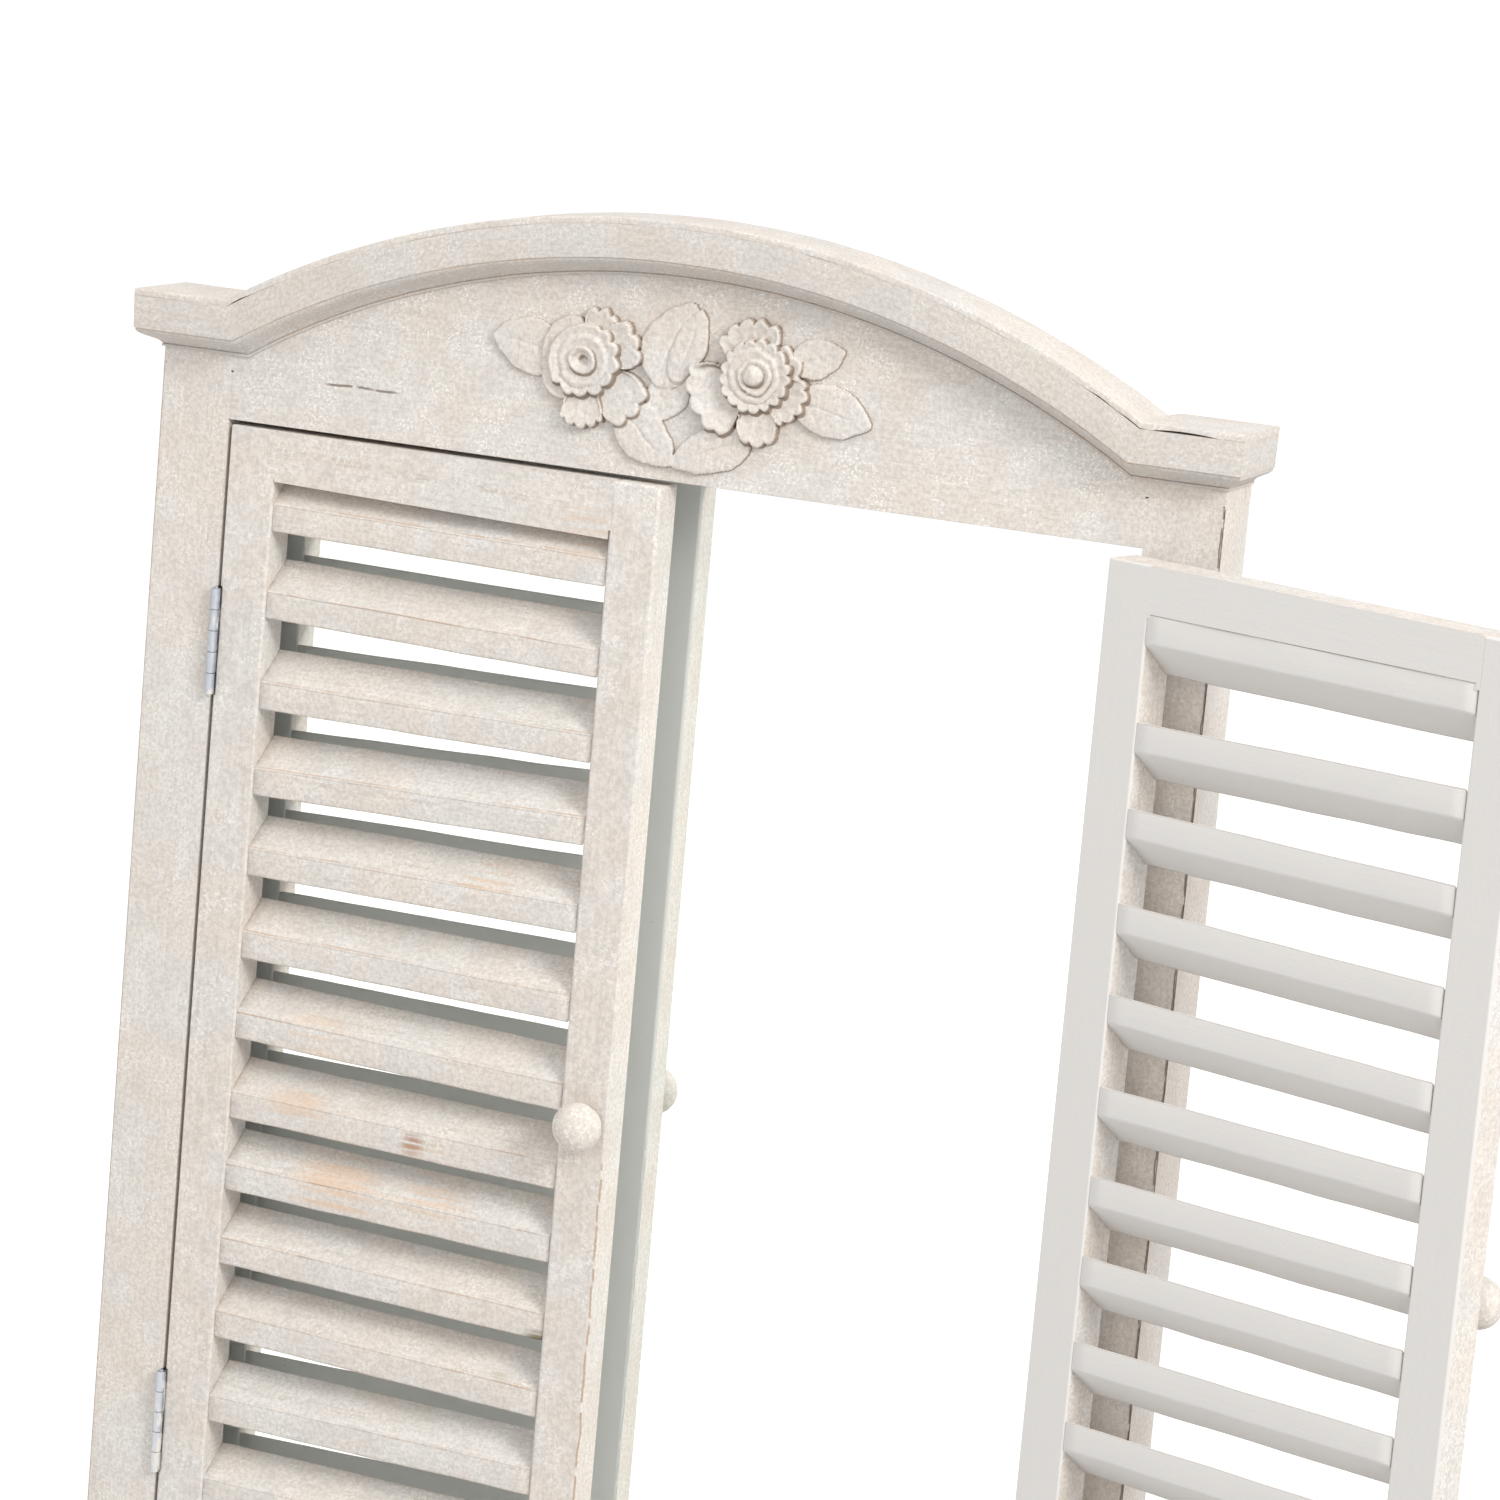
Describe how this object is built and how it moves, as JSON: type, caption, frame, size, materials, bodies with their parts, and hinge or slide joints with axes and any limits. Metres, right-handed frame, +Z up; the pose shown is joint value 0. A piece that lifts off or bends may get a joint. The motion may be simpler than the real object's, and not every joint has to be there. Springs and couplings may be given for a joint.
{
  "type": "window-style wall mirror with louvred shutters",
  "caption": "Arched wooden wall mirror made like a window: a moulded cornice with carved roses, and louvred shutters on butt hinges that open in front of the glass.",
  "frame": {"origin": "on the back face of the back board, in the middle of the opening", "axes": "+X to the right seen from the front, +Y into the wall, +Z up"},
  "size_m": [0.6793, 0.1303, 0.7203],
  "materials": {
    "painted_wood": "whitewashed, worn, matt",
    "carved_wood": "whitewashed, matt, dark in the cuts",
    "hinge_zinc": "zinc plated, partly overpainted",
    "mirror": "silvered glass",
    "hardboard": "raw brown hardboard"
  },
  "bodies": {
    "frame": {"back_board": "hardboard", "cornice_cap": "painted_wood", "cornice_moulding": "painted_wood", "frame_bottom_rail": "painted_wood", "frame_top_rail": "painted_wood", "left_hanger_plate": "hinge_zinc", "left_lower_hinge_frame_leaf": "hinge_zinc", "left_post_face_board": "painted_wood", "left_post_side_board": "painted_wood", "left_upper_hinge_frame_leaf": "hinge_zinc", "mirror_glass": "mirror", "pediment_board": "painted_wood", "right_hanger_plate": "hinge_zinc", "right_lower_hinge_frame_leaf": "hinge_zinc", "right_post_face_board": "painted_wood", "right_post_side_board": "painted_wood", "right_upper_hinge_frame_leaf": "hinge_zinc", "rose_applique": "carved_wood"},
    "left_shutter": {"left_lower_hinge_shutter_leaf": "hinge_zinc", "left_shutter_bottom_rail": "painted_wood", "left_shutter_free_stile": "painted_wood", "left_shutter_hinge_stile": "painted_wood", "left_shutter_knob": "painted_wood", "left_shutter_slat_01": "painted_wood", "left_shutter_slat_02": "painted_wood", "left_shutter_slat_03": "painted_wood", "left_shutter_slat_04": "painted_wood", "left_shutter_slat_05": "painted_wood", "left_shutter_slat_06": "painted_wood", "left_shutter_slat_07": "painted_wood", "left_shutter_slat_08": "painted_wood", "left_shutter_slat_09": "painted_wood", "left_shutter_slat_10": "painted_wood", "left_shutter_slat_11": "painted_wood", "left_shutter_slat_12": "painted_wood", "left_shutter_slat_13": "painted_wood", "left_shutter_slat_14": "painted_wood", "left_shutter_top_rail": "painted_wood", "left_upper_hinge_shutter_leaf": "hinge_zinc"},
    "right_shutter": {"right_lower_hinge_shutter_leaf": "hinge_zinc", "right_shutter_bottom_rail": "painted_wood", "right_shutter_free_stile": "painted_wood", "right_shutter_hinge_stile": "painted_wood", "right_shutter_knob": "painted_wood", "right_shutter_slat_01": "painted_wood", "right_shutter_slat_02": "painted_wood", "right_shutter_slat_03": "painted_wood", "right_shutter_slat_04": "painted_wood", "right_shutter_slat_05": "painted_wood", "right_shutter_slat_06": "painted_wood", "right_shutter_slat_07": "painted_wood", "right_shutter_slat_08": "painted_wood", "right_shutter_slat_09": "painted_wood", "right_shutter_slat_10": "painted_wood", "right_shutter_slat_11": "painted_wood", "right_shutter_slat_12": "painted_wood", "right_shutter_slat_13": "painted_wood", "right_shutter_slat_14": "painted_wood", "right_shutter_top_rail": "painted_wood", "right_upper_hinge_shutter_leaf": "hinge_zinc"}
  },
  "joints": [
    {"name": "left_shutter_hinge", "type": "hinge", "parent": "frame", "child": "left_shutter", "pos_m": [-0.21475, -0.0367, 0], "axis": [0, 0, -1], "range_deg": [-1.9, 178.1]},
    {"name": "right_shutter_hinge", "type": "hinge", "parent": "frame", "child": "right_shutter", "pos_m": [0.21475, -0.0367, 0], "axis": [0, 0, 1], "range_deg": [-159.5, 20.5]}
  ]
}
